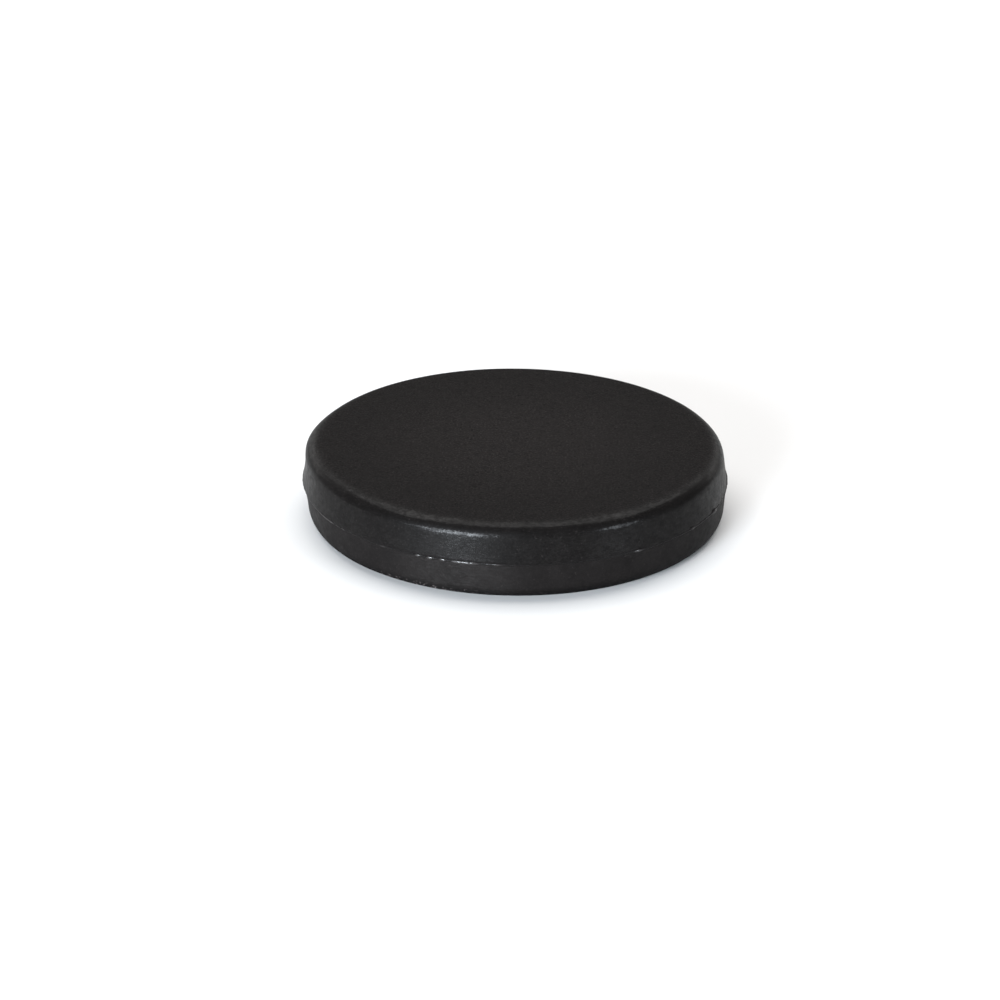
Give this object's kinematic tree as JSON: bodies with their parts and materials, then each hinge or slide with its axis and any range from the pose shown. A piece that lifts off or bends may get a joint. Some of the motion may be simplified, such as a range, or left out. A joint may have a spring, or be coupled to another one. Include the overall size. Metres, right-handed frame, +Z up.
{
  "type": "hockey puck",
  "caption": "Thin solid rubber hockey puck with flat faces, rounded edges, drafted side walls and a trimmed ring of mould flash; slides flat on ice or floor.",
  "frame": {"origin": "centre of the lower face, where the puck meets the ice", "axes": "+Z up along the puck's axis, towards its upper face; +X and +Y lie in the lower face, and every direction across is the same"},
  "size_m": [0.0762, 0.0762, 0.0137],
  "materials": {
    "moulded_rubber": "black vulcanised rubber, satin on the side wall, fine matt grain on the faces",
    "flash_rubber": "black vulcanised rubber, torn and slightly paler where it was trimmed"
  },
  "bodies": {
    "root": {"puck_body": "moulded_rubber", "parting_flash": "flash_rubber"}
  },
  "joints": []
}
